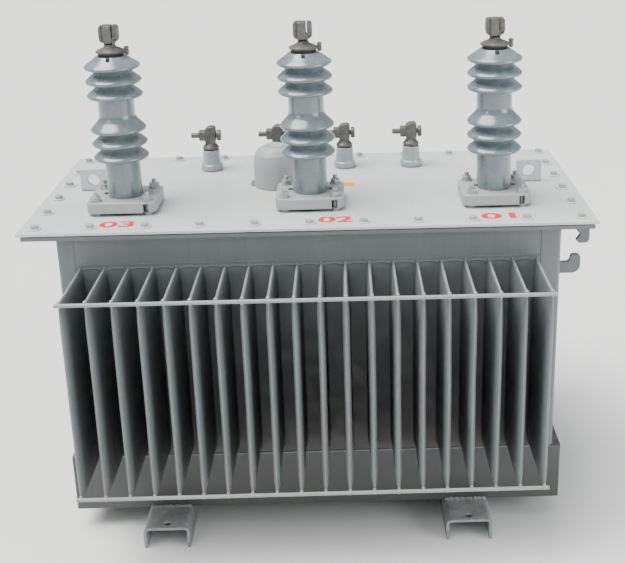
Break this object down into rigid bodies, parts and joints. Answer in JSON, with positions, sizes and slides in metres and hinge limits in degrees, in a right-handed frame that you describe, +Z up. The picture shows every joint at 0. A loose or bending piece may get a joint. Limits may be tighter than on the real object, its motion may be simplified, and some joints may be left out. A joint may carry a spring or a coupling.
{
  "type": "power transformer",
  "caption": "Oil-filled distribution transformer with folded cooling fins, a bolted cover, ribbed high-voltage and short low-voltage bushings, lifting lugs and channel feet.",
  "frame": {"origin": "on the floor under the middle of the cover", "axes": "+Z up, +X along the row of fins, +Y from the high-voltage side to the low-voltage side"},
  "size_m": [1.184, 0.87, 1.108],
  "materials": {
    "tank_paint": "grey enamel on welded steel plate",
    "fin_paint": "grey enamel on thin folded steel sheet",
    "channel_paint": "grey enamel on bent steel plate",
    "cork_rubber": "dark cork and rubber sheet",
    "cast_flange": "cast, painted grey",
    "glazed_porcelain": "glossy blue-grey glaze",
    "tinned_terminal": "tinned, dull"
  },
  "bodies": {
    "root": {"base_channel_left": "channel_paint", "base_channel_right": "channel_paint", "bottom_pan": "tank_paint", "tank_end_left": "tank_paint", "tank_end_right": "tank_paint", "rim_flange": "tank_paint", "cover_plate": "tank_paint", "lifting_lug_left": "tank_paint", "lifting_lug_right": "tank_paint", "corner_hook_left": "tank_paint", "corner_hook_right": "tank_paint", "rim_tooth_left": "tank_paint", "rim_tooth_right": "tank_paint", "filler_bell": "tank_paint", "fin_panel_front": "fin_paint", "fin_panel_back": "fin_paint", "top_rod_front": "fin_paint", "top_rod_back": "fin_paint", "bottom_rod_front": "fin_paint", "bottom_rod_back": "fin_paint", "cover_gasket": "cork_rubber", "hv_gasket_left": "cork_rubber", "hv_flange_left": "cast_flange", "hv_porcelain_left": "glazed_porcelain", "hv_terminal_left": "tinned_terminal", "hv_gasket_centre": "cork_rubber", "hv_flange_centre": "cast_flange", "hv_porcelain_centre": "glazed_porcelain", "hv_terminal_centre": "tinned_terminal", "hv_gasket_right": "cork_rubber", "hv_flange_right": "cast_flange", "hv_porcelain_right": "glazed_porcelain", "hv_terminal_right": "tinned_terminal", "lv_gasket_1": "cork_rubber", "lv_porcelain_1": "glazed_porcelain", "lv_terminal_1": "tinned_terminal", "lv_gasket_2": "cork_rubber", "lv_porcelain_2": "glazed_porcelain", "lv_terminal_2": "tinned_terminal", "lv_gasket_3": "cork_rubber", "lv_porcelain_3": "glazed_porcelain", "lv_terminal_3": "tinned_terminal", "lv_gasket_4": "cork_rubber", "lv_porcelain_4": "glazed_porcelain", "lv_terminal_4": "tinned_terminal"}
  },
  "joints": []
}
